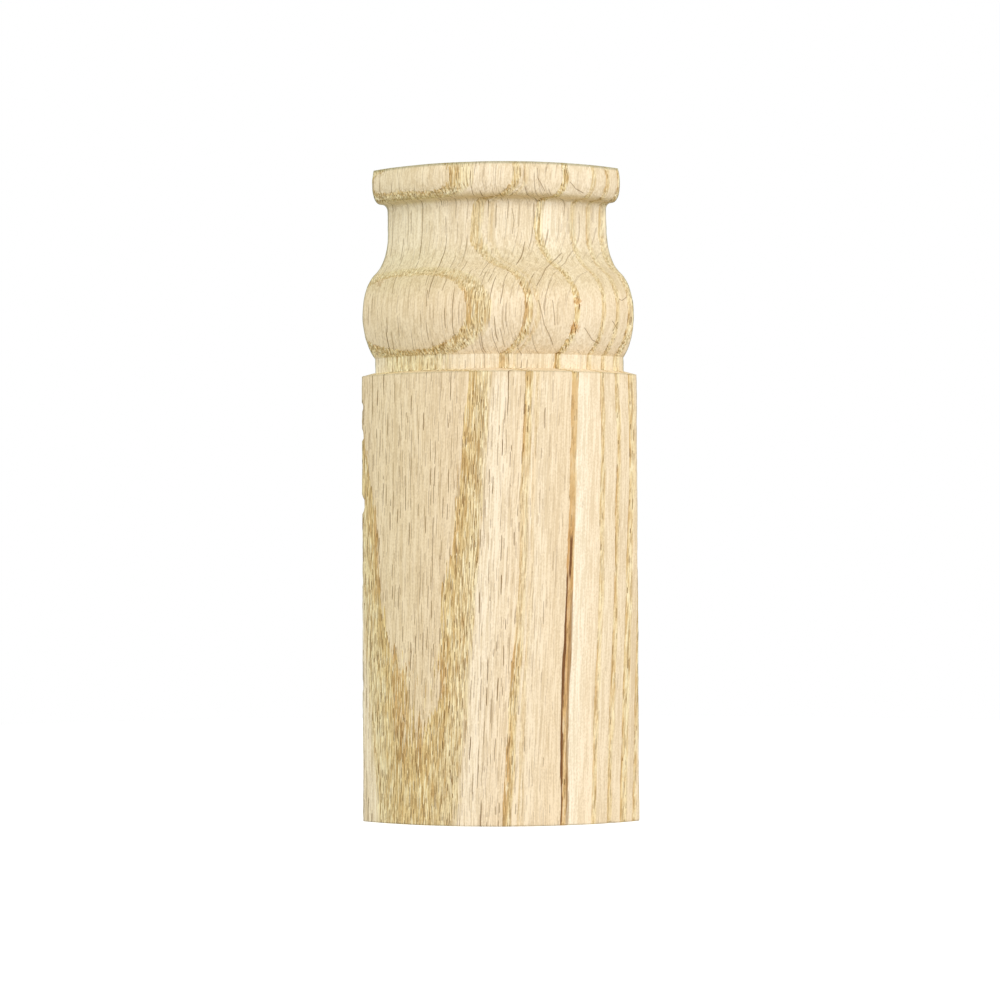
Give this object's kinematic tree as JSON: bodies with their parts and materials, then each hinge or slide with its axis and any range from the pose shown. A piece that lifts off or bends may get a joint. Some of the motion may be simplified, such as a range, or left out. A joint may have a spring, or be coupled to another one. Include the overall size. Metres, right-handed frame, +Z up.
{
  "type": "corner base block",
  "caption": "Outside corner base block in bare oak: quarter-round plain body, turned head with bulge, cove and rim, and a square rebate behind for the wall's corner.",
  "frame": {"origin": "centre of the foot's bounding square, on the floor", "axes": "+Z up. The turning axis stands at the square's -X +Y corner, so the round face looks to +X and -Y, and the rebate and the two sawn faces look to -X and +Y"},
  "size_m": [0.0474, 0.0475, 0.159],
  "materials": {
    "oak": "bare oak, turned and sawn, no stain or varnish"
  },
  "bodies": {
    "root": {"corner_base_block": "oak"}
  },
  "joints": []
}
